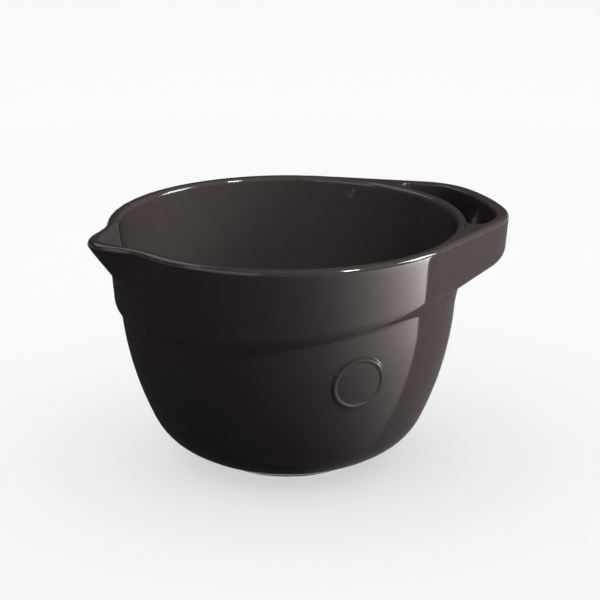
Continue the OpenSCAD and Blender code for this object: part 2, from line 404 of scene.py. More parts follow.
def pick_faces(piece: bpy.types.Object, test: Callable[[Vector], bool]) -> None:
    """Selects the faces of the piece in edit mode whose middle passes a test.

    Args:
        piece: The object in edit mode.
        test: What the middle of a face has to pass.
    """
    bpy.ops.mesh.select_mode(type="FACE")
    bpy.ops.mesh.select_all(action="DESELECT")
    mesh = bmesh.from_edit_mesh(piece.data)
    for face in mesh.faces:
        face.select_set(test(face.calc_center_median()))
    bmesh.update_edit_mesh(piece.data)


def pick_open_edges(piece: bpy.types.Object, test: Callable[[Vector, Vector], bool]) -> None:
    """Selects the open edges of the piece in edit mode whose two ends pass a test.

    Args:
        piece: The object in edit mode.
        test: What the two ends of an edge have to pass.
    """
    bpy.ops.mesh.select_mode(type="EDGE")
    bpy.ops.mesh.select_all(action="DESELECT")
    mesh = bmesh.from_edit_mesh(piece.data)
    for edge in mesh.edges:
        if edge.is_boundary:
            edge.select_set(test(edge.verts[0].co, edge.verts[1].co))
    bmesh.update_edit_mesh(piece.data)


def cut_notch(piece: bpy.types.Object, seat_z: float) -> None:
    """Cuts the spout's notch out of a spun piece in edit mode and closes the notch's level seat.

    Args:
        piece: The object in edit mode.
        seat_z: Height of the seat, where the piece has a row of points.
    """
    limit = cosd(FORM.notch_spread)

    def in_notch(middle: Vector) -> bool:
        """Whether a face's middle lies in the notch."""
        return middle.z > seat_z and -middle.x > limit * math.hypot(middle.x, middle.y)

    def on_seat(first: Vector, second: Vector) -> bool:
        """Whether an open edge on the spout's side lies on the seat."""
        off_seat = max(abs(first.z - seat_z), abs(second.z - seat_z))
        return off_seat < SEAT_REACH and first.x + second.x < 0.0

    pick_faces(piece, in_notch)
    bpy.ops.mesh.delete(type="FACE")
    pick_open_edges(piece, on_seat)
    bpy.ops.mesh.bridge_edge_loops()


def close_piece(piece: bpy.types.Object) -> None:
    """Merges doubles, fills what is open, turns the faces outwards and shades the piece in edit mode.

    Args:
        piece: The object in edit mode.
    """
    bpy.ops.mesh.select_mode(type="VERT")
    bpy.ops.mesh.select_all(action="SELECT")
    bpy.ops.mesh.remove_doubles(threshold=MERGE_REACH)
    bpy.ops.mesh.fill_holes(sides=0)
    bpy.ops.mesh.select_all(action="SELECT")
    bpy.ops.mesh.normals_make_consistent(inside=False)
    bpy.ops.object.mode_set(mode="OBJECT")
    bpy.ops.object.select_all(action="DESELECT")
    piece.select_set(True)
    bpy.ops.object.shade_smooth_by_angle(angle=math.radians(SMOOTH_ANGLE))


def read_points(piece: bpy.types.Object) -> np.ndarray:
    """Reads the places of all points of a piece.

    Args:
        piece: The piece, in object mode.

    Returns:
        Rows of x, y and z.
    """
    places = np.empty(len(piece.data.vertices) * 3)
    piece.data.vertices.foreach_get("co", places)
    return places.reshape(-1, 3)


def place_points(piece: bpy.types.Object, places: np.ndarray) -> None:
    """Moves all points of a piece, in object mode, to rows of x, y and z."""
    piece.data.vertices.foreach_set("co", places.astype(np.float32).ravel())
    piece.data.update()


def skin_sections(name: str, sections: Sequence[Sequence[Triple]]) -> bpy.types.Object:
    """Skins a row of closed sections: a grid is laid over them, sewn along its sides and capped at its ends.

    Args:
        name: Name of the new piece.
        sections: Closed sections in order, with as many points each.

    Returns:
        The closed piece, in object mode.
    """
    begin_piece()
    across = len(sections[0])
    bpy.ops.mesh.primitive_grid_add(x_subdivisions=across, y_subdivisions=len(sections) - 1, size=1.0)
    piece = named_piece(name)
    rows = [[*section, section[0]] for section in sections]
    place_points(piece, np.array(rows).reshape(-1, 3))
    bpy.ops.object.mode_set(mode="EDIT")
    close_piece(piece)
    return piece


def mark_edges(piece: bpy.types.Object, skirted: bool, creases: np.ndarray | float = 0.0) -> None:
    """Stores on each point how far it lies on a rounded edge, where the glaze is painted paler: partly where
    the glaze breaks, partly a painted highlight.

    Args:
        piece: The finished piece.
        skirted: Whether it has the rounded lower edge of the band and handle.
        creases: How far each point lies on an edge of the piece's own, where a painted highlight goes.
    """
    places = read_points(piece)
    depth = FORM.height - places[:, 2]
    share = np.clip(depth / FORM.band_round, 0.0, 1.0)
    # Paler over the rim's rounding: partly glaze break, partly a painted highlight.
    values = RIM_BREAK_AND_SHEEN * share * (1.0 - share)
    if skirted:
        # Paler over the rounded lower edge: partly glaze break, partly a painted highlight.
        lift = FORM.skirt_depth(places[:, 0]) - depth
        share = np.clip(lift / FORM.skirt_round, 0.0, 1.0)
        values = np.maximum(values, SKIRT_BREAK_AND_SHEEN * share * (1.0 - share))
    # Painted highlight along the piece's own creases.
    values = np.maximum(values, creases)
    mask = piece.data.attributes.new(name=EDGE_MASK, type="FLOAT", domain="POINT")
    mask.data.foreach_set("value", values.astype(np.float32))


def dress(piece: bpy.types.Object, node: str, material: bpy.types.Material) -> None:
    """Gives a piece its material and puts it in the place of a node of the frame.

    Args:
        piece: The finished piece.
        node: Name of the node that it stands for.
        material: The material itself.
    """
    piece.data.materials.clear()
    piece.data.materials.append(material)
    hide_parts(node)
    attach(piece, "root")
    LOG.info("%s: %d points", piece.name, len(piece.data.vertices))


@dataclass
class LoopHandle:
    """Loop handle: a bar and two arms round a finger slot, seated on the wall and level with the rim."""

    reach: float = 28 * MM
    corner: float = 45 * MM
    bar_t: float = 9.5 * MM
    slot_corner: float = 33 * MM
    slot_end: float = 6 * MM
    slot_end_angle: float = 24.0
    lower_round: float = 1.6 * MM
    top_round_share: float = 1.3
    top_round_most: float = 0.6
    fan_share: float = 0.42
    fill_rise: float = 4.0
    bar_steps: int = 18
    corner_steps: int = 50
    arm_steps: int = 10
    end_steps: int = 40
    round_steps: int = 9
    top_steps: int = 8
    face_steps: int = 9
    flat_steps: int = 6
    turn_steps: int = 7
    outline_steps: tuple[int, int, int, int] = (60, 40, 80, 95)

    def __post_init__(self) -> None:
        """Works out the outline of the handle and of its slot, at the rim."""
        spread = FORM.handle_spread
        self.end_r = FORM.band_top_r + self.reach
        self.slot_r = self.end_r - self.bar_t
        self.flat_way = ring_dir(spread)
        self.side_way = ring_dir(spread + 90.0)
        self.slot_end_dist = FORM.slot_base_r + self.slot_end
        self.arm_way = self.slot_end + self.slot_end_dist * cosd(spread - self.slot_end_angle)
        self.corner_dist = self.end_r - self.corner
        self.corner_angle = self.flat_angle(FORM.band_top_r - self.corner, self.corner_dist)
        self.corner_c = along(AXIS, ring_dir(self.corner_angle), self.corner_dist)
        self.slot_corner_dist = self.slot_r - self.slot_corner
        self.slot_corner_angle = self.flat_angle(self.arm_way - self.slot_corner, self.slot_corner_dist)
        self.slot_corner_c = along(AXIS, ring_dir(self.slot_corner_angle), self.slot_corner_dist)
        self.slot_end_c = along(AXIS, ring_dir(self.slot_end_angle), self.slot_end_dist)
        self.end_turn = 180.0 + self.slot_end_angle - spread
        self.outline = self.slot_outline()

    def flat_angle(self, way: float, dist: float) -> float:
        """Angle at which a point at a distance from the axis lies a way out along the arms' direction."""
        return FORM.handle_spread - acosd(way / dist)

    def slot_outline(self) -> np.ndarray:
        """Outline of the finger slot at the rim.

        Returns:
            Rows of x and y round the closed slot.
        """
        spread = FORM.handle_spread
        bar, corner, end, wall = self.outline_steps
        half = plan_arc(AXIS, self.slot_r, 0.0, self.slot_corner_angle, bar)
        half += plan_arc(self.slot_corner_c, self.slot_corner, self.slot_corner_angle, spread, corner)
        half += plan_arc(self.slot_end_c, self.slot_end, spread, spread + self.end_turn, end)
        half += plan_arc(AXIS, FORM.slot_base_r, self.slot_end_angle, 0.0, wall)
        return np.array([*half, *[(x, -y) for x, y in reversed(half)]])

    def slot_drop(self, places: np.ndarray) -> np.ndarray:
        """How far the rim's top is rounded down beside the finger slot.

        Args:
            places: Rows of x and y on the clay.

        Returns:
            The drop at each place.
        """
        ends = np.roll(self.outline, -1, axis=0)
        runs = ends - self.outline
        lengths = np.maximum((runs * runs).sum(axis=1), MERGE_REACH * MERGE_REACH)
        nearest = np.full(len(places), np.inf)
        for start, run, length in zip(self.outline, runs, lengths):
            offset = places - start
            share = np.clip(offset @ run / length, 0.0, 1.0)
            gap = offset - share[:, None] * run
            nearest = np.minimum(nearest, np.hypot(gap[:, 0], gap[:, 1]))
        size = FORM.slot_round
        short = np.clip(size - nearest, 0.0, size)
        return size - np.sqrt(size * size - short * short)

    def swelling(self, angle: Number) -> Number:
        """How far the wall swells out at an angle from the handle's middle."""
        return FORM.swell * (1.0 - smooth_step((angle - self.slot_end_angle) / FORM.swell_fade))

    def stations(self) -> list[tuple[Pair, Pair, Pair, float]]:
        """Places along half of the handle, from the middle of the bar to the band.

        Returns:
            For each place a slot-side point, an outer point, the way out of the clay there, and how far the
            lower inner edge is rounded off, below nothing where it is filled instead.
        """
        spread = FORM.handle_spread
        rows: list[tuple[Pair, Pair, Pair, float]] = []
        for s in steps(0.0, 1.0, self.bar_steps):
            out = ring_dir(s * self.corner_angle)
            slot = along(AXIS, ring_dir(s * self.slot_corner_angle), self.slot_r)
            rows.append((slot, along(AXIS, out, self.end_r), out, self.lower_round))
        for s in steps(0.0, 1.0, self.corner_steps)[1:]:
            out = ring_dir(mix(self.corner_angle, spread, s))
            slot_way = ring_dir(mix(self.slot_corner_angle, spread, s))
            slot = along(self.slot_corner_c, slot_way, self.slot_corner)
            rows.append((slot, along(self.corner_c, out, self.corner), out, self.lower_round))
        arm_start = along(self.slot_corner_c, self.flat_way, self.slot_corner)
        arm_end = along(self.slot_end_c, self.flat_way, self.slot_end)
        flat_start = along(self.corner_c, self.flat_way, self.corner)
        flat_turn = along(arm_end, self.flat_way, FORM.band_top_r - self.arm_way)
        for s in steps(0.0, 1.0, self.arm_steps)[1:]:
            slot = mix_pair(arm_start, arm_end, s)
            rows.append((slot, mix_pair(flat_start, flat_turn, s), self.flat_way, self.lower_round))
        for s in steps(0.0, 1.0, self.end_steps)[1:]:
            turn = s * self.end_turn
            slot = along(self.slot_end_c, ring_dir(spread + turn), self.slot_end)
            outer = self.on_flat(slot, tand(self.fan_share * turn))
            rows.append((slot, outer, self.flat_way, self.lower_round * (1.0 - s * s)))
        last_outer = rows[-1][1]
        flat_end = along(AXIS, self.flat_way, FORM.band_top_r)
        seat_count = round((spread - self.slot_end_angle) * ROUND_STEPS / 360.0) + 1
        for s in steps(0.0, 1.0, seat_count)[1:]:
            angle = mix(self.slot_end_angle, spread, s)
            slot = along(AXIS, ring_dir(angle), FORM.wall_top_r + float(self.swelling(angle)))
            filled = -FORM.crease_size * min(1.0, self.fill_rise * s)
            rows.append((slot, mix_pair(last_outer, flat_end, s), self.flat_way, filled))
        return rows

    def on_flat(self, start: Pair, slope: float) -> Pair:
        """Point on the arm's outer flat that is met from a start by a line with a slope along the flat."""
        rest = FORM.band_top_r - start[0] * self.flat_way[0] - start[1] * self.flat_way[1]
        return along(along(start, self.flat_way, rest), self.side_way, rest * slope)

    def top_row(self, slot: Pair, edge: Pair) -> list[Triple]:
        """Goes over the handle's top from the slot's rounded edge towards the outer edge.

        Args:
            slot: Slot-side point at the rim.
            edge: Point where the rounding of the outer edge starts.

        Returns:
            The points of the top, without the last.
        """
        reach = min(self.top_round_most, self.top_round_share * FORM.slot_round / math.dist(slot, edge))
        shares = [reach * (1.0 - cosd(a)) for a in steps(0.0, 90.0, self.round_steps)]
        shares += steps(reach, 1.0, self.top_steps)[1:-1]
        top = np.array([mix_pair(slot, edge, s) for s in shares])
        drops = self.slot_drop(top)
        top *= (1.0 - drops * FORM.fall / np.hypot(top[:, 0], top[:, 1]))[:, None]
        return [(x, y, FORM.height - drop) for (x, y), drop in zip(top, drops)]

    def lower_corner(self, ends: Sequence[Triple], lower: float, narrow: bool) -> list[Triple]:
        """Goes from the rounded lower edge along the underside and round its inner corner.

        Args:
            ends: Last point of the rounded lower edge, the corner itself, and the point of the slot-side
                face where the corner's rounding ends.
            lower: Rounding of the corner, or below nothing a fill against the wall.
            narrow: Whether the rounded lower edge leaves no room for a flat underside.

        Returns:
            The points between the first end and the last.
        """
        start, corner, end = (np.array(point) for point in ends)
        share = 0.0 if narrow else max(0.0, 1.0 - abs(lower) / float(np.linalg.norm(corner - start)))
        turn = mix(start, corner, share)
        points = [mix(start, turn, s) for s in steps(0.0, 1.0, self.flat_steps)[1:-1]]
        for s in steps(0.0, 1.0, self.turn_steps)[:-1]:
            points.append(mix(mix(turn, corner, s), mix(corner, end, s), s))
        return [tuple(point) for point in points]

    def section(self, slot: Pair, outer: Pair, out: Pair, lower: float) -> list[Triple]:
        """Closed section of the handle at one place.

        Args:
            slot: Slot-side point at the rim.
            outer: Outer point at the rim.
            out: Way out of the clay at the outer point.
            lower: Rounding of the lower inner edge, or below nothing a fill against the wall.

        Returns:
            Points from the slot's upper edge over the top, down the outside and round below to the slot.
        """
        slot_dist = math.hypot(*slot)
        axis_way = (slot[0] / slot_dist, slot[1] / slot_dist)
        width = (outer[0] - slot[0]) * out[0] + (outer[1] - slot[1]) * out[1]
        last = FORM.skirt_last(width)
        narrow = last < 90.0
        rise = FORM.skirt_round * (1.0 - sind(last))
        inner_depth = FORM.skirt_depth(slot[0]) - rise

        def inner_point(depth: float) -> Triple:
            """Point of the slot-side face at a depth."""
            plan = along(slot, axis_way, -depth * FORM.fall)
            return plan[0], plan[1], FORM.height - depth

        def outer_point(inset: float, depth: float) -> Triple:
            """Point at an inset from the outer point and a depth."""
            plan = along(outer, out, -inset)
            return plan[0], plan[1], FORM.height - depth

        def face_r(depth: float) -> float:
            """Radius of the outer face at a depth, counted from the outer point."""
            return -depth * FORM.fall

        edge = FORM.outer_edge(face_r, FORM.wall_lean, FORM.band_round, EDGE_STEPS)
        points = self.top_row(slot, outer_point(-edge[0][0], 0.0)[:2])
        top_depth = FORM.height - points[0][2]
        points += [outer_point(-r, depth) for r, depth in edge]
        skirt = FORM.skirt_depth(outer[0])
        centre_inset = (skirt - FORM.skirt_round) * FORM.fall
        stop = last - math.degrees(abs(lower) / FORM.skirt_round) if narrow else last
        arc = FORM.skirt_arc(stop, SKIRT_STEPS)
        for depth in steps(edge[-1][1], skirt - arc[0][1], self.face_steps)[1:-1]:
            points.append(outer_point(depth * FORM.fall, depth))
        for inset, height in arc:
            plan = along(outer, out, -(inset + centre_inset))
            points.append((plan[0], plan[1], FORM.height - FORM.skirt_depth(plan[0]) + height))
        end_depth = inner_depth - lower
        ends = (points[-1], inner_point(inner_depth), inner_point(end_depth))
        points += self.lower_corner(ends, lower, narrow)
        points += [inner_point(depth) for depth in steps(end_depth, top_depth, self.face_steps)[:-1]]
        return points

    def build(self, material: bpy.types.Material) -> bpy.types.Object:
        """Skins the handle from its sections, one half mirrored to the other.

        Args:
            material: The material that it gets.

        Returns:
            The finished piece.
        """
        half = [self.section(*station) for station in self.stations()]
        far = [[(x, -y, z) for x, y, z in section] for section in reversed(half[1:])]
        piece = skin_sections("loop_handle_glazed", [*far, *half])
        mark_edges(piece, skirted=True)
        dress(piece, "loop_handle", material)
        return piece


@dataclass
class BowlBody:
    """Bowl: a spun wall with a flat floor, rounded at the rim and notched for the spout."""

    handle: LoopHandle
    top_gap: float = 0.1 * MM
    top_reach: float = 0.01 * MM
    outer_top: float = 2.4 * MM
    foot_share: float = 0.6
    floor_shares: Triple = (0.6, 0.25, 0.0)
    under_steps: int = 8
    heel_steps: int = 14
    side_steps: int = 26
    wall_steps: int = 9
    top_steps: int = 14
    rim_steps: int = 12
    inner_steps: int = 8
    inner_low_steps: int = 6
    floor_steps: int = 22

    def __post_init__(self) -> None:
        """Works out the rim's inner rounding and the width of the flat top beside it."""
        self.inner_rim = FORM.inner_edge(self.inner_r, FORM.wall_lean, FORM.rim_round, self.rim_steps)
        self.top_span = FORM.wall_top_r - self.inner_rim[-1][0] - self.top_gap

    def inner_r(self, depth: float) -> float:
        """Radius of the wall's inner face at a depth."""
        return FORM.leaning(FORM.rim_r, depth)

    def half_section(self) -> list[Pair]:
        """Half section from the underside's middle round the outside and over the rim to the floor's middle.

        Returns:
            Points of radius and height.
        """
        top = FORM.height
        points = [(0.0, FORM.foot_h), (self.foot_share * FORM.foot_edge[0], FORM.foot_h)]
        points += lean_arc(FORM.under_c, FORM.under_r, FORM.under_end, FORM.heel_end, self.under_steps)
        points += lean_arc(FORM.heel_c, FORM.heel_r, FORM.heel_end, FORM.side_end, self.heel_steps)[1:]
        points += lean_arc(FORM.side_c, FORM.side_r, FORM.side_end, FORM.wall_lean, self.side_steps)[1:]
        depths = steps(top - FORM.side_start[1], FORM.notch_h, self.wall_steps)[1:-1]
        depths += steps(FORM.notch_h, self.outer_top, self.wall_steps)
        points += [(FORM.leaning(FORM.wall_top_r, depth), top - depth) for depth in depths]
        points += [(FORM.wall_top_r - self.top_span * s, top) for s in steps(0.0, 1.0, self.top_steps)]
        points += [(r, top - depth) for r, depth in reversed(self.inner_rim)]
        inner_start = along(FORM.side_start, way_out(FORM.wall_lean), -FORM.wall_t)
        depths = steps(self.inner_rim[0][1], FORM.notch_h, self.inner_steps)[1:]
        depths += steps(FORM.notch_h, top - inner_start[1], self.inner_low_steps)[1:-1]
        points += [(self.inner_r(depth), top - depth) for depth in depths]
        side_r = FORM.side_r - FORM.wall_t
        points += lean_arc(FORM.side_c, side_r, FORM.wall_lean, FORM.side_end, self.side_steps)
        floor_z = FORM.foot_h + FORM.floor_t
        inner_mid = points[-1]
        curve_r = (inner_mid[1] - floor_z) / (1.0 - sind(FORM.side_end))
        curve_c = along(inner_mid, way_out(FORM.side_end), -curve_r)
        points += lean_arc(curve_c, curve_r, FORM.side_end, 90.0, self.floor_steps)[1:]
        points += [(share * curve_c[0], floor_z) for share in self.floor_shares]
        return points

    def swollen(self, places: np.ndarray) -> np.ndarray:
        """Swells the wall out behind the finger slot.

        Args:
            places: Rows of x, y and z of the round bowl.

        Returns:
            The rows of the swollen bowl.
        """
        depth = FORM.height - places[:, 2]
        dist = np.hypot(places[:, 0], places[:, 1])
        inside = FORM.wall_top_r - depth * FORM.fall - self.top_span
        share = np.clip((dist - inside) / self.top_span, 0.0, 1.0)
        start, end = FORM.swell_low
        share *= 1.0 - smooth_step((depth - start) / (end - start))
        angle = np.degrees(np.arctan2(np.abs(places[:, 1]), places[:, 0]))
        moved = places.copy()
        moved[:, :2] *= (1.0 + share * self.handle.swelling(angle) / np.maximum(dist, MM))[:, None]
        return moved

    def build(self, material: bpy.types.Material) -> bpy.types.Object:
        """Spins the bowl, cuts the spout's notch, closes it and rounds the rim beside the finger slot.

        Args:
            material: The material that it gets.

        Returns:
            The finished piece.
        """
        piece = draw_chain("bowl_body_glazed", [(r, 0.0, z) for r, z in self.half_section()])
        spin_chain(360.0, ROUND_STEPS)
        cut_notch(piece, FORM.height - FORM.notch_h)
        close_piece(piece)
        places = self.swollen(read_points(piece))
        by_slot = (places[:, 2] > FORM.height - self.top_reach) & (places[:, 0] > 0.0)
        drops = self.handle.slot_drop(places[by_slot, :2])
        dists = np.hypot(places[by_slot, 0], places[by_slot, 1])
        places[by_slot, :2] *= (1.0 - drops * FORM.fall / dists)[:, None]
        places[by_slot, 2] -= drops
        place_points(piece, places)
        mark_edges(piece, skirted=False)
        dress(piece, "bowl_body", material)
        return piece


@dataclass
class RimBand:
    """Thick band round the rim from the handle to the spout, with a rounded lower edge that climbs."""

    upper_steps: int = 6
    lower_steps: int = 5
    crease_steps: int = 8

    def half_section(self) -> list[Pair]:
        """Closed half section of the band where its lower edge hangs level with the bowl's axis.

        Returns:
            Points of radius and depth.
        """
        edge = FORM.outer_edge(self.face_r, FORM.wall_lean, FORM.band_round, EDGE_STEPS)
        points = [(FORM.wall_top_r, 0.0), *edge]
        start = FORM.skirt_h - FORM.skirt_round
        last = FORM.skirt_last(FORM.band_t)
        arc = FORM.skirt_arc(last - math.degrees(FORM.crease_size / FORM.skirt_round), SKIRT_STEPS)
        notch = self.notch_depth(FORM.skirt_h)
        depths = steps(edge[-1][1], notch, self.upper_steps)[1:]
        depths += steps(notch, FORM.skirt_h - arc[0][1], self.lower_steps)[1:-1]
        points += [(self.face_r(depth), depth) for depth in depths]
        centre_r = self.face_r(start)
        points += [(centre_r - inset, FORM.skirt_h - height) for inset, height in arc]
        corner_depth = FORM.skirt_h - FORM.skirt_round * (1.0 - sind(last))
        end_depth = corner_depth + FORM.crease_size
        corner = (self.wall_r(corner_depth), corner_depth)
        points += bend(points[-1], corner, (self.wall_r(end_depth), end_depth), self.crease_steps)[1:]
        points += [(self.wall_r(depth), depth) for depth in (start, notch, 0.5 * notch)]
        return points

    def face_r(self, depth: float) -> float:
        """Radius of the band's outer face at a depth."""
        return FORM.leaning(FORM.band_top_r, depth)

    def wall_r(self, depth: float) -> float:
        """Radius of the wall behind the band at a depth."""
        return FORM.leaning(FORM.wall_top_r, depth)

    def notch_depth(self, skirt: Number) -> Number:
        """Depth of the row of faces that ends at the spout's notch.

        Args:
            skirt: Depth of the band's lower edge there.

        Returns:
            The depth, which is the notch's own where the band meets the spout.
        """
        beside = FORM.skirt_depth(-FORM.band_top_r * cosd(FORM.notch_spread))
        share = (FORM.notch_h - FORM.band_round) / (beside - FORM.skirt_round - FORM.band_round)
        return FORM.band_round + share * (skirt - FORM.skirt_round - FORM.band_round)

    def hang(self, places: np.ndarray) -> np.ndarray:
        """Stretches the level band so that its lower edge hangs deeper towards the spout.

        Args:
            places: Rows of x, y and z of the level band.

        Returns:
            The rows of the hanging band.
        """
        depth = FORM.height - places[:, 2]
        dist = np.hypot(places[:, 0], places[:, 1])
        skirt = FORM.skirt_depth(places[:, 0])
        by_spout = -places[:, 0] > (cosd(FORM.notch_spread) - MERGE_REACH) * dist
        level_notch = self.notch_depth(FORM.skirt_h)
        notch = np.where(by_spout, FORM.notch_h, self.notch_depth(skirt))
        level_start = FORM.skirt_h - FORM.skirt_round
        start = skirt - FORM.skirt_round
        top = FORM.band_round
        upper = top + (depth - top) * (notch - top) / (level_notch - top)
        lower = notch + (depth - level_notch) * (start - notch) / (level_start - level_notch)
        below = depth + skirt - FORM.skirt_h
        hung = np.where(depth < top, depth, np.where(depth < level_notch, upper, lower))
        hung = np.where(depth > level_start, below, hung)
        moved = places.copy()
        moved[:, :2] *= ((dist - (hung - depth) * FORM.fall) / dist)[:, None]
        moved[:, 2] = FORM.height - hung
        return moved

    def build(self, material: bpy.types.Material) -> bpy.types.Object:
        """Spins the band from one arm of the handle to the other, cuts the notch, hangs and closes it.

        Args:
            material: The material that it gets.

        Returns:
            The finished piece.
        """
        spread = FORM.handle_spread
        points = self.half_section()
        way = ring_dir(-spread)
        chain = [(r * way[0], r * way[1], FORM.height - depth) for r, depth in [*points, points[0]]]
        piece = draw_chain("rim_band_glazed", chain)
        turn = 360.0 - 2.0 * spread
        spin_chain(turn, int(turn))
        cut_notch(piece, FORM.height - self.notch_depth(FORM.skirt_h))
        close_piece(piece)
        place_points(piece, self.hang(read_points(piece)))
        mark_edges(piece, skirted=True)
        dress(piece, "rim_band", material)
        return piece


@dataclass
class PourSpout:
    """Pouring spout: a beak with a keel below and a channel with two flat sides inside."""

    reach: float = 18 * MM
    spread: float = 19.0
    keel_h: float = 28.3 * MM
    keel_power: float = 1.1
    keel_foot_share: float = 0.55
    keel_soft: float = 0.06
    hump_power: float = 2.2
    lip_t: float = 8.5 * MM
    lip_blunt: float = 2.0
    lip_round_share: float = 0.8
    channel_h: float = 27.5 * MM
    channel_spread: float = 22.0
    channel_soft: float = 0.12
    narrow_h: float = 18.7 * MM
    narrow_share: float = 0.3
    crease_soft: float = 0.4 * MM
    crease_half: float = 0.6
    # Strength of the pale line painted along the channel's creases, a painted highlight.
    crease_highlight: float = 4.0
    lean_reach: float = 0.1 * MM
    even_share: float = 0.4
    half_steps: int = 150
    foot_steps: int = 8
    channel_steps: int = 44
    lip_steps: int = 5
    keel_steps: int = 26

    def hump(self, angle: float, half: float) -> float:
        """A smooth hump over the angles within a half angle."""
        return cosd(90.0 * angle / half) ** self.hump_power if abs(angle) < half else 0.0

    def beak_r(self, angle: float, depth: float) -> float:
        """Radius of the spout's outside.

        Args:
            angle: Angle from the spout's middle.
            depth: Depth below the rim.

        Returns:
            The band's radius with the beak's reach added, which is less further down and to the sides.
        """
        fallen = (max(0.0, depth) / self.keel_h) ** self.keel_power
        left = smooth_max(0.0, 1.0 - fallen, self.keel_soft)
        half = self.spread * mix(self.keel_foot_share, 1.0, left)
        return FORM.leaning(FORM.band_top_r, depth) + self.reach * left * self.hump(angle, half)

    def blunted(self, angle: float) -> float:
        """Angle from the spout's middle, taken as less near it so that the channel is blunt there."""
        return math.hypot(angle, self.lip_blunt) - self.lip_blunt

    def crease_angle(self, depth: float) -> float:
        """Angle from the spout's middle to the channel's creases, which draw together with depth."""
        left = smooth_max(self.narrow_share, 1.0 - depth / self.narrow_h, self.channel_soft)
        return self.channel_spread * left

    def channel_r(self, angle: float, depth: float) -> float:
        """Radius of the spout's inside at an angle from its middle and a depth.

        Args:
            angle: Angle from the spout's middle.
            depth: Depth below the rim.

        Returns:
            Radius of the channel's flat side, or of the round wall beyond the crease.
        """
        wall = FORM.leaning(FORM.rim_r, depth)
        left = smooth_max(0.0, 1.0 - depth / self.channel_h, self.channel_soft)
        tip = wall + (FORM.band_top_r + self.reach - self.lip_t - FORM.rim_r) * left
        crease = self.crease_angle(depth)
        turn = crease * self.blunted(angle) / self.blunted(crease)
        if turn >= 2.0 * crease:
            return wall
        side = sind(crease) / (sind(crease - turn) / tip + sind(turn) / wall)
        gap = side - wall if turn < crease else -abs(side - wall)
        return wall + smooth_max(0.0, gap, self.crease_soft * left)

    def section(self, angle: float) -> list[Pair]:
        """Closed section of the spout at an angle from its middle.

        Args:
            angle: Angle from the spout's middle.

        Returns:
            Points of radius and depth from the notch up the inside, over the lip and down the outside.
        """
        def inside_r(depth: float) -> float:
            """Radius of the spout's inside at a depth."""
            return self.channel_r(angle, depth)

        def outside_r(depth: float) -> float:
            """Radius of the spout's outside at a depth."""
            return self.beak_r(angle, depth)

        def lean_of(face_r: Face, depth: float) -> float:
            """Lean of a face from upright at a depth."""
            fall = face_r(depth - self.lean_reach) - face_r(depth + self.lean_reach)
            return math.degrees(math.atan(fall / (2.0 * self.lean_reach)))

        thick = outside_r(0.0) - inside_r(0.0)
        share = min(1.0, self.lip_round_share * thick / (FORM.rim_round + FORM.band_round))
        inner_round = FORM.rim_round * share
        outer_round = FORM.band_round * share
        edge_in = FORM.inner_edge(inside_r, lean_of(inside_r, inner_round), inner_round, EDGE_STEPS)
        edge_out = FORM.outer_edge(outside_r, lean_of(outside_r, outer_round), outer_round, EDGE_STEPS)
        turn_depth = self.channel_h * (1.0 - self.channel_soft)
        depths = steps(FORM.notch_h, turn_depth, self.foot_steps)[:-1]
        depths += steps(turn_depth, edge_in[0][1], self.channel_steps)[:-1]
        points = [(inside_r(depth), depth) for depth in depths]
        points += edge_in
        points += [mix_pair(edge_in[-1], edge_out[0], s) for s in steps(0.0, 1.0, self.lip_steps)[1:-1]]
        points += edge_out
        depths = steps(edge_out[-1][1], FORM.notch_h, self.keel_steps)[1:]
        points += [(outside_r(depth), depth) for depth in depths]
        return points

    def creases(self, places: np.ndarray) -> np.ndarray:
        """Finds the two creases where the channel's sides meet the round wall, which get a painted
        highlight.

        Args:
            places: Rows of x, y and z.

        Returns:
            How strongly each place is painted pale as a highlight along a crease.
        """
        angle = np.degrees(np.arctan2(np.abs(places[:, 1]), -places[:, 0]))
        depth = FORM.height - places[:, 2]
        crease = np.array([self.crease_angle(value) for value in depth])
        near = np.clip(1.0 - np.abs(angle - crease) / self.crease_half, 0.0, 1.0)
        left = np.clip(1.0 - depth / self.channel_h, 0.0, 1.0)
        inside = np.hypot(places[:, 0], places[:, 1]) < 0.5 * (FORM.rim_r + FORM.band_top_r)
        return np.where(inside, self.crease_highlight * near * left, 0.0)

    def build(self, material: bpy.types.Material) -> bpy.types.Object:
        """Skins the spout from its sections, which lie closer together at the tip.

        Args:
            material: The material that it gets.

        Returns:
            The finished piece.
        """
        sections = []
        for s in steps(-1.0, 1.0, 2 * self.half_steps + 1):
            angle = FORM.notch_spread * s * mix(abs(s), 1.0, self.even_share)
            sections.append([
                (-r * cosd(angle), r * sind(angle), FORM.height - depth) for r, depth in self.section(angle)
            ])
        piece = skin_sections("pour_spout_glazed", sections)
        # The channel's creases get a painted highlight in the glaze's colour.
        mark_edges(piece, skirted=False, creases=self.creases(read_points(piece)))
        dress(piece, "pour_spout", material)
        return piece


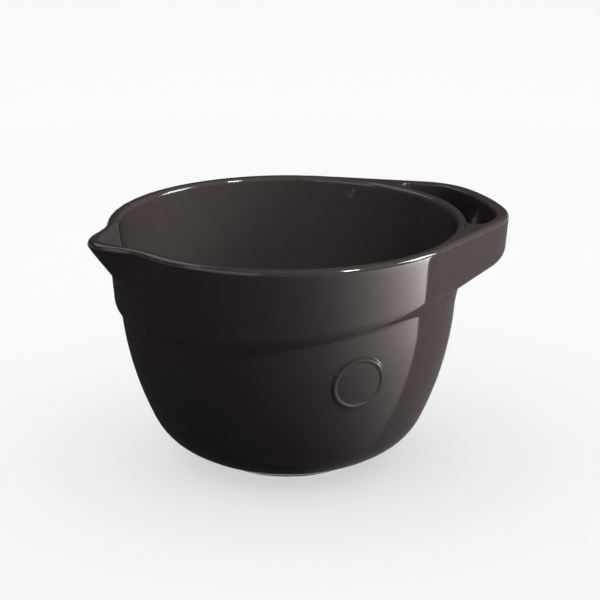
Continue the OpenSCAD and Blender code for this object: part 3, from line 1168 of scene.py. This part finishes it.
@dataclass
class Medallion:
    """Medallion: a soft raised ring round a bare field, bent onto the wall."""

    reach: float = 17.4 * MM
    ring_r: float = 15.1 * MM
    ring_half: float = 2.3 * MM
    relief: float = 1.0 * MM
    field_h: float = 0.4 * MM
    sunk: float = 0.25 * MM
    angle: float = -87.5
    depth: float = 72.5 * MM
    soft: float = 0.4 * MM
    ring_foot: float = 1.6
    ring_power: float = 1.5
    ring_steps: int = 26
    field_r: float = 10 * MM
    field_steps: int = 6

    def profile(self) -> list[Pair]:
        """Half section of the medallion, flat.

        Returns:
            Points of distance from its middle and height above the wall, from its back round to its front.
        """
        points = [(0.0, -self.sunk), (self.reach, -self.sunk), (self.reach, 0.0)]
        dists = steps(self.reach, self.ring_r - self.ring_foot * self.ring_half, self.ring_steps)[1:]
        dists += steps(self.field_r, 0.0, self.field_steps)
        for dist in dists:
            swell = max(0.0, 1.0 - abs(dist - self.ring_r) / self.ring_half)
            ring = self.relief * sind(90.0 * swell) ** self.ring_power
            inside = self.field_h if dist < self.ring_r else 0.0
            points.append((dist, smooth_max(ring, inside, self.soft) if inside else ring))
        return points

    def bent(self, places: np.ndarray) -> np.ndarray:
        """Bends the flat medallion onto the bowl's side.

        Args:
            places: Rows across, up and out of the wall.

        Returns:
            Rows of x, y and z.
        """
        centre_r, centre_z = FORM.side_c
        middle = math.asin((centre_z - (FORM.height - self.depth)) / FORM.side_r)
        lean = middle - places[:, 1] / FORM.side_r
        dist = centre_r + (FORM.side_r + places[:, 2]) * np.cos(lean)
        turn = math.radians(self.angle) + places[:, 0] / (centre_r + FORM.side_r * np.cos(lean))
        height = centre_z - (FORM.side_r + places[:, 2]) * np.sin(lean)
        return np.stack([dist * np.cos(turn), dist * np.sin(turn), height], axis=1)

    def build(self, material: bpy.types.Material) -> bpy.types.Object:
        """Spins the medallion flat, bends it onto the wall and closes it.

        Args:
            material: The material that it gets.

        Returns:
            The finished piece.
        """
        piece = draw_chain("medallion_glazed", [(r, 0.0, z) for r, z in self.profile()])
        spin_chain(360.0, ROUND_STEPS // 2)
        close_piece(piece)
        place_points(piece, self.bent(read_points(piece)))
        dress(piece, "medallion", material)
        return piece


@dataclass
class FootRing:
    """Unglazed ring that the bowl stands on."""

    width: float = 8 * MM
    step: float = 2 * MM
    rounding: float = 0.8 * MM
    round_steps: int = 6

    def half_section(self) -> list[Pair]:
        """Closed half section of the ring.

        Returns:
            Points of radius and height.
        """
        outer = FORM.foot_edge[0] - self.step
        inner = outer - self.width
        size = self.rounding
        points = [(inner, FORM.foot_h)]
        turn = steps(0.0, 90.0, self.round_steps)
        points += [(inner + size - size * cosd(a), size - size * sind(a)) for a in turn]
        points += [(outer - size + size * sind(a), size - size * cosd(a)) for a in turn]
        points.append((outer, FORM.foot_h))
        return points

    def build(self, material: bpy.types.Material) -> bpy.types.Object:
        """Spins the ring and closes it.

        Args:
            material: The material that it gets.

        Returns:
            The finished piece.
        """
        points = self.half_section()
        piece = draw_chain("foot_ring_clay", [(r, 0.0, z) for r, z in [*points, points[0]]])
        spin_chain(360.0, ROUND_STEPS)
        close_piece(piece)
        dress(piece, "foot_ring", material)
        return piece


def new_material(name: str) -> tuple[bpy.types.Material, bpy.types.ShaderNode]:
    """Makes a node material with one shader.

    Args:
        name: Name of the material.

    Returns:
        The material and its shader node.
    """
    material = bpy.data.materials.new(name)
    material.use_nodes = True
    return material, material.node_tree.nodes["Principled BSDF"]


@dataclass
class NodeSketch:
    """A node tree that is drawn node by node."""

    tree: bpy.types.NodeTree

    def add(
        self, kind: str, settings: dict[str, object], inputs: dict[str | int, object]
    ) -> bpy.types.Node:
        """Adds a node.

        Args:
            kind: Type of the node.
            settings: Its options by name.
            inputs: Values of its inputs, or the sockets that feed them.

        Returns:
            The new node.
        """
        node = self.tree.nodes.new(kind)
        for name, value in settings.items():
            setattr(node, name, value)
        for name, value in inputs.items():
            if isinstance(value, bpy.types.NodeSocket):
                self.tree.links.new(value, node.inputs[name])
            else:
                node.inputs[name].default_value = value
        return node

    def maths(self, operation: str, first: object, second: object = 0.0) -> bpy.types.NodeSocket:
        """Result of a sum on two values or sockets."""
        return self.add("ShaderNodeMath", {"operation": operation}, {0: first, 1: second}).outputs[0]

    def spread(self, value: bpy.types.NodeSocket, source: Pair, target: Pair) -> bpy.types.NodeSocket:
        """A value moved smoothly from one range to another, and kept within it."""
        inputs = {"Value": value, "From Min": source[0], "From Max": source[1]}
        inputs |= {"To Min": target[0], "To Max": target[1]}
        return self.add("ShaderNodeMapRange", {"interpolation_type": "SMOOTHSTEP"}, inputs).outputs["Result"]

    def blend(self, share: bpy.types.NodeSocket, first: object, second: object) -> bpy.types.NodeSocket:
        """Mixes two colours.

        Args:
            share: Share of the second, which changes over the surface.
            first: The first colour, or the socket that gives it.
            second: The second colour, or the socket that gives it.

        Returns:
            The socket of the mixed colour.
        """
        node = self.add("ShaderNodeMix", {"data_type": "RGBA"}, {})
        self.tree.links.new(share, node.inputs["Factor"])
        for socket, value in ((node.inputs[6], first), (node.inputs[7], second)):
            if isinstance(value, bpy.types.NodeSocket):
                self.tree.links.new(value, socket)
            else:
                socket.default_value = (*value, 1.0)
        return node.outputs[2]

    def coat(self, shader: bpy.types.Node, feeds: dict[str, bpy.types.NodeSocket], bump: Pair) -> None:
        """Gives a shader its colour, its roughness and a bumpy surface.

        Args:
            shader: The shader node.
            feeds: The sockets Colour, Roughness and Height that feed it.
            bump: Strength and height of the bumps.
        """
        inputs = {"Strength": bump[0], "Distance": bump[1], "Height": feeds["Height"]}
        normal = self.add("ShaderNodeBump", {}, inputs).outputs["Normal"]
        self.tree.links.new(feeds["Colour"], shader.inputs["Base Color"])
        self.tree.links.new(feeds["Roughness"], shader.inputs["Roughness"])
        self.tree.links.new(normal, shader.inputs["Normal"])


@dataclass(frozen=True)
class FiredGrain:
    """Shared grain of fired clay: broad clouds, fine mottling and the small swells of its surface.

    Each layer is given by its usual scale and its detail.
    """

    name: str = "fired_grain"
    clouds: Pair = (14.0, 3.0)
    mottle: Pair = (260.0, 4.0)
    swell: Pair = (150.0, 1.0)

    def group(self) -> bpy.types.NodeTree:
        """Makes the node group, or finds it where it is already made.

        Returns:
            The group, with the outputs Clouds, Mottle and Swell.
        """
        if self.name in bpy.data.node_groups:
            return bpy.data.node_groups[self.name]
        layers = {
            "Clouds": ("Cloud Scale", self.clouds),
            "Mottle": ("Mottle Scale", self.mottle),
            "Swell": ("Swell Scale", self.swell),
        }
        tree = bpy.data.node_groups.new(self.name, "ShaderNodeTree")
        for scale_name, (scale, _) in layers.values():
            socket = tree.interface.new_socket(scale_name, in_out="INPUT", socket_type="NodeSocketFloat")
            socket.default_value = scale
        for name in layers:
            tree.interface.new_socket(name, in_out="OUTPUT", socket_type="NodeSocketFloat")
        sketch = NodeSketch(tree)
        given = sketch.add("NodeGroupInput", {}, {})
        place = sketch.add("ShaderNodeTexCoord", {}, {}).outputs["Object"]
        result = sketch.add("NodeGroupOutput", {}, {})
        for name, (scale_name, (_, detail)) in layers.items():
            inputs = {"Vector": place, "Scale": given.outputs[scale_name], "Detail": detail}
            noise = sketch.add("ShaderNodeTexNoise", {}, inputs)
            tree.links.new(noise.outputs["Fac"], result.inputs[name])
        return tree


@dataclass(frozen=True)
class GlazeFinish:
    """Glossy dark charcoal glaze, painted a little paler over edges and creases: partly where the glaze
    breaks there, partly a painted highlight along them.
    """

    deep: Triple = (0.039, 0.0316, 0.0313)
    pale: Triple = (0.0465, 0.0383, 0.0378)
    # Colour painted over rounded edges and creases: partly glaze break, partly a painted highlight.
    break_and_sheen_colour: Triple = (0.085, 0.0705, 0.0685)
    break_and_sheen_share: float = 0.26
    gloss: Pair = (0.055, 0.085)
    swell: float = 0.05
    swell_height: float = 0.12 * MM
    cloud_range: Pair = (0.3, 0.7)
    cloud_share: Pair = (0.0, 0.6)
    mottle_range: Pair = (0.35, 0.7)
    mottle_share: Pair = (0.0, 0.4)
    break_and_sheen_range: Pair = (0.3, 0.6)
    break_and_sheen_levels: Pair = (0.3, 1.0)

    def material(self) -> bpy.types.Material:
        """Makes the glaze.

        Returns:
            The material.
        """
        material, shader = new_material("charcoal_glaze")
        sketch = NodeSketch(material.node_tree)
        grain = sketch.add("ShaderNodeGroup", {"node_tree": FiredGrain().group()}, {}).outputs
        edge = sketch.add("ShaderNodeAttribute", {"attribute_name": EDGE_MASK}, {}).outputs["Fac"]
        clouds = sketch.spread(grain["Clouds"], self.cloud_range, self.cloud_share)
        mottle = sketch.spread(grain["Mottle"], self.mottle_range, self.mottle_share)
        body = sketch.blend(sketch.maths("ADD", clouds, mottle), self.deep, self.pale)
        # Paler over rounded edges and the spout's creases, broken up by mottle: partly glaze break, partly a
        # painted highlight.
        break_and_sheen_mask = sketch.spread(grain["Mottle"], self.break_and_sheen_range, self.break_and_sheen_levels)
        break_and_sheen_mask = sketch.maths("MULTIPLY", edge, break_and_sheen_mask)
        colour = sketch.blend(sketch.maths("MULTIPLY", break_and_sheen_mask, self.break_and_sheen_share), body, self.break_and_sheen_colour)
        rough = sketch.spread(grain["Clouds"], self.cloud_range, self.gloss)
        feeds = {"Colour": colour, "Roughness": rough, "Height": grain["Swell"]}
        sketch.coat(shader, feeds, (self.swell, self.swell_height))
        return material


@dataclass(frozen=True)
class ClayFinish:
    """Bare fired clay of the foot ring, sandy to the touch, with the glaze run down its flanks."""

    dark: Triple = (0.42, 0.33, 0.245)
    light: Triple = (0.62, 0.53, 0.42)
    speck: Triple = (0.2, 0.14, 0.1)
    roughness: Pair = (0.72, 0.92)
    grain: float = 0.5
    grain_height: float = 0.3 * MM
    scales: Triple = (40.0, 900.0, 1600.0)
    cloud_range: Pair = (0.3, 0.7)
    rough_range: Pair = (0.3, 0.7)
    speck_range: Pair = (0.62, 0.7)
    speck_share: Pair = (0.0, 0.8)
    glaze: Triple = GlazeFinish.deep
    glaze_gloss: float = 0.08
    glaze_line: Pair = (0.1 * MM, 0.25 * MM)

    def material(self) -> bpy.types.Material:
        """Makes the bare clay.

        Returns:
            The material.
        """
        material, shader = new_material("bare_stoneware")
        sketch = NodeSketch(material.node_tree)
        scales = dict(zip(("Cloud Scale", "Mottle Scale", "Swell Scale"), self.scales))
        grain = sketch.add("ShaderNodeGroup", {"node_tree": FiredGrain().group()}, scales).outputs
        clouds = sketch.spread(grain["Clouds"], self.cloud_range, NONE_TO_ALL)
        body = sketch.blend(clouds, self.dark, self.light)
        specks = sketch.spread(grain["Mottle"], self.speck_range, self.speck_share)
        colour = sketch.blend(specks, body, self.speck)
        rough = sketch.spread(grain["Mottle"], self.rough_range, self.roughness)
        place = sketch.add("ShaderNodeTexCoord", {}, {}).outputs["Object"]
        height = sketch.add("ShaderNodeSeparateXYZ", {}, {"Vector": place}).outputs["Z"]
        glazed = sketch.spread(height, self.glaze_line, NONE_TO_ALL)
        colour = sketch.blend(glazed, colour, self.glaze)
        rough = sketch.maths("MULTIPLY", rough, sketch.maths("SUBTRACT", 1.0, glazed))
        rough = sketch.maths("ADD", rough, sketch.maths("MULTIPLY", glazed, self.glaze_gloss))
        feeds = {"Colour": colour, "Roughness": rough, "Height": grain["Swell"]}
        sketch.coat(shader, feeds, (self.grain, self.grain_height))
        return material


@dataclass(frozen=True)
class Softbox:
    """One soft light. Its places are given as the studio's are.

    Attributes:
        name: Name of the light.
        place: Where it hangs.
        size: Its two sides.
        brightness: Brightness of its face.
        aim: The place that it faces.
        shadow: Whether shadows are cast in its light.
        shiny: Whether it is mirrored.
        bounces: After how many bounces its light still counts.
    """

    name: str
    place: Triple
    size: Pair
    brightness: float
    aim: Triple = (0.0, 0.0, 0.09)
    shadow: bool = True
    shiny: bool = True
    bounces: int = 8


@dataclass
class Studio:
    """Pale floor, soft lights and the camera.

    Places are given across the picture, away from the camera and up, from the bowl's foot.
    """

    inside: Sequence[bpy.types.Object]
    outside: Sequence[bpy.types.Object]
    medallion: bpy.types.Object
    camera_azimuth: float = -22.0
    camera_dist: float = 1300 * MM
    camera_height: float = 511.8 * MM
    aim_right: float = 7.4 * MM
    aim_height: float = 97.4 * MM
    lens: float = 135.28
    sensor: float = 36.0
    floor_size: float = 12.0
    floor_tone: float = 0.9
    floor_rough: float = 0.9
    floor_shine: float = 0.1
    world_tone: float = 0.012
    key: Softbox = Softbox("key_softbox", (1.015, 0.035, 0.63), (0.42, 0.5), 20.0, bounces=0)
    front_light: Softbox = Softbox("front_light", (0.67, -0.6, 1.16), (0.16, 0.16), 160.0, bounces=0)
    medal_light: Softbox = replace(front_light, name="medal_light", shiny=False, bounces=Softbox.bounces)
    back_fill: Softbox = Softbox("back_fill", (-0.75, 0.45, 1.15), (1.2, 0.6), 1.3)
    front_fill: Softbox = Softbox("front_fill", (-0.9, -1.0, 0.7), (1.2, 1.2), 1.0)
    mouth_fill: Softbox = Softbox(
        "mouth_fill", (0.045, -0.04, 0.2), (0.1, 0.1), 3.2, (-0.1, 0.04, 0.1), shiny=False, bounces=0,
    )
    ceiling: Softbox = Softbox("ceiling", (0.0, 0.4, 2.4), (9.0, 9.0), 0.5, (0.0, 0.4, 0.0), shiny=False)
    wash: Softbox = replace(ceiling, name="floor_wash", brightness=0.83, shadow=False)
    card_steps: int = 96
    card_height: float = 0.5 * MM
    card_span: Pair = (0.047, 0.9)
    card_warmth: Triple = (1.0, 0.92, 0.91)
    card_edge: tuple[Pair, Pair] = ((0.084, -0.056), (0.424, 0.001))
    card_edge_soft: float = 4 * MM
    card_glow: float = 3.4
    card_power: float = 2.0
    card_rise: Pair = (-0.01, 0.349)
    card_fade: Pair = (-0.096, 0.28)
    card_base: Pair = (0.03, 0.085)
    card_base_rise: Pair = (-0.1, 0.05)
    card_beyond: float = 0.18
    card_beyond_rise: Pair = (0.0, 0.06)

    def turned(self, right: float, back: float, height: float) -> Vector:
        """Place given across the picture, away from the camera and up, in the frame's axes."""
        return Vector((
            right * cosd(self.camera_azimuth) - back * sind(self.camera_azimuth),
            right * sind(self.camera_azimuth) + back * cosd(self.camera_azimuth),
            height,
        ))

    def place_camera(self) -> None:
        """Sets the camera at the photograph's place."""
        data = bpy.data.cameras.new("camera")
        camera = bpy.data.objects.new("camera", data)
        bpy.context.scene.collection.objects.link(camera)
        place = self.turned(0.0, -self.camera_dist, self.camera_height)
        aim = self.turned(self.aim_right, 0.0, self.aim_height)
        camera.location = place
        camera.rotation_euler = (aim - place).to_track_quat("-Z", "Y").to_euler()
        data.lens = self.lens
        data.sensor_width = self.sensor
        bpy.context.scene.camera = camera

    def lay_floor(self) -> bpy.types.Object:
        """Lays the pale floor.

        Returns:
            The floor.
        """
        begin_piece()
        bpy.ops.mesh.primitive_plane_add(size=self.floor_size, location=(0.0, 0.0, 0.0))
        floor = bpy.context.object
        floor.name = "floor"
        material, shader = new_material("floor")
        shader.inputs["Base Color"].default_value = (self.floor_tone, self.floor_tone, self.floor_tone, 1.0)
        shader.inputs["Roughness"].default_value = self.floor_rough
        shader.inputs["Specular IOR Level"].default_value = self.floor_shine
        floor.data.materials.append(material)
        return floor

    def card_strength(self, sketch: NodeSketch) -> bpy.types.NodeSocket:
        """Draws how brightly the low card glows from place to place.

        Args:
            sketch: The card's node tree.

        Returns:
            The socket of the glow's strength.
        """
        place = sketch.add("ShaderNodeTexCoord", {}, {}).outputs["Object"]
        turn = (0.0, 0.0, math.radians(-self.camera_azimuth))
        seen = sketch.add("ShaderNodeMapping", {}, {"Vector": place, "Rotation": turn}).outputs["Vector"]
        parts = sketch.add("ShaderNodeSeparateXYZ", {}, {"Vector": seen}).outputs
        right, back = parts["X"], parts["Y"]
        start, end = self.card_rise
        rise = sketch.maths("DIVIDE", sketch.maths("SUBTRACT", right, start), end - start)
        glow = sketch.maths("POWER", sketch.maths("MAXIMUM", rise, 0.0), self.card_power)
        start, reach = self.card_fade
        fade = sketch.maths("DIVIDE", sketch.maths("SUBTRACT", back, start), reach)
        glow = sketch.maths("MULTIPLY", glow, sketch.maths("EXPONENT", fade))
        glow = sketch.maths("MULTIPLY", glow, self.card_glow)
        front = sketch.maths("ADD", glow, sketch.spread(right, self.card_base_rise, self.card_base))
        beyond = sketch.spread(right, self.card_beyond_rise, (self.card_base[0], self.card_beyond))
        first, last = self.card_edge
        slope = (last[1] - first[1]) / (last[0] - first[0])
        line = sketch.maths("MULTIPLY_ADD", right, slope)
        line.node.inputs[2].default_value = first[1] - slope * first[0]
        past = sketch.maths("SUBTRACT", back, line)
        share = sketch.spread(past, (-self.card_edge_soft, self.card_edge_soft), NONE_TO_ALL)
        front = sketch.maths("MULTIPLY", front, sketch.maths("SUBTRACT", 1.0, share))
        strength = sketch.maths("ADD", front, sketch.maths("MULTIPLY", beyond, share))
        under = sketch.add("ShaderNodeNewGeometry", {}, {}).outputs["Backfacing"]
        return sketch.maths("MULTIPLY", strength, sketch.maths("SUBTRACT", 1.0, under))

    def lay_card(self) -> None:
        """Lays a low card round the bowl, dark on the left, glowing on the right and not seen itself."""
        card = draw_chain("low_card", [(reach, 0.0, self.card_height) for reach in self.card_span])
        spin_chain(360.0, self.card_steps)
        bpy.ops.object.mode_set(mode="OBJECT")
        if card.data.polygons[0].normal.z < 0.0:
            card.data.flip_normals()
        material = bpy.data.materials.new("low_card")
        material.use_nodes = True
        material.node_tree.nodes.clear()
        sketch = NodeSketch(material.node_tree)
        inputs = {"Color": (*self.card_warmth, 1.0), "Strength": self.card_strength(sketch)}
        light = sketch.add("ShaderNodeEmission", {}, inputs)
        sketch.add("ShaderNodeOutputMaterial", {}, {"Surface": light.outputs["Emission"]})
        card.data.materials.append(material)
        card.visible_camera = False
        card.visible_shadow = False

    def hang_light(self, softbox: Softbox, lit: Sequence[bpy.types.Object]) -> None:
        """Hangs one soft light.

        Args:
            softbox: The light.
            lit: The objects that it lights.
        """
        data = bpy.data.lights.new(softbox.name, "AREA")
        data.shape = "RECTANGLE"
        data.size, data.size_y = softbox.size
        data.energy = math.pi * softbox.brightness * softbox.size[0] * softbox.size[1]
        data.use_shadow = softbox.shadow
        light = bpy.data.objects.new(softbox.name, data)
        bpy.context.scene.collection.objects.link(light)
        place = self.turned(*softbox.place)
        light.location = place
        aim = self.turned(*softbox.aim)
        light.rotation_euler = (aim - place).to_track_quat("-Z", "Y").to_euler()
        light.visible_camera = False
        light.visible_glossy = softbox.shiny
        data.cycles.use_multiple_importance_sampling = softbox.shiny
        data.cycles.max_bounces = softbox.bounces
        reached = bpy.data.collections.new(f"{softbox.name}_lit")
        for thing in lit:
            reached.objects.link(thing)
        light.light_linking.receiver_collection = reached
        LOG.info("%s: brightness %.1f", softbox.name, softbox.brightness)

    def build(self) -> None:
        """Builds the whole studio."""
        self.place_camera()
        floor = self.lay_floor()
        self.lay_card()
        world = bpy.data.worlds.new("studio")
        bpy.context.scene.world = world
        world.use_nodes = True
        back = world.node_tree.nodes["Background"]
        back.inputs["Color"].default_value = (self.world_tone, self.world_tone, self.world_tone, 1.0)
        back.inputs["Strength"].default_value = 1.0
        main_pieces = [*self.inside, *self.outside]
        for softbox in (self.key, self.back_fill, self.front_fill):
            self.hang_light(softbox, [*main_pieces, self.medallion])
        self.hang_light(self.front_light, main_pieces)
        self.hang_light(self.medal_light, [self.medallion])
        self.hang_light(self.mouth_fill, self.inside)
        for softbox in (self.ceiling, self.wash):
            self.hang_light(softbox, [floor])
        bpy.context.scene.view_settings.view_transform = "Standard"


def main() -> None:
    """Builds every piece in order."""
    logging.basicConfig(level=logging.INFO, format="%(message)s")
    glaze = GlazeFinish().material()
    clay = ClayFinish().material()
    handle = LoopHandle()
    inside = [BowlBody(handle).build(glaze), PourSpout().build(glaze)]
    outside = [RimBand().build(glaze), handle.build(glaze), FootRing().build(clay)]
    Studio(inside, outside, Medallion().build(glaze)).build()


if __name__ == "__main__":
    main()
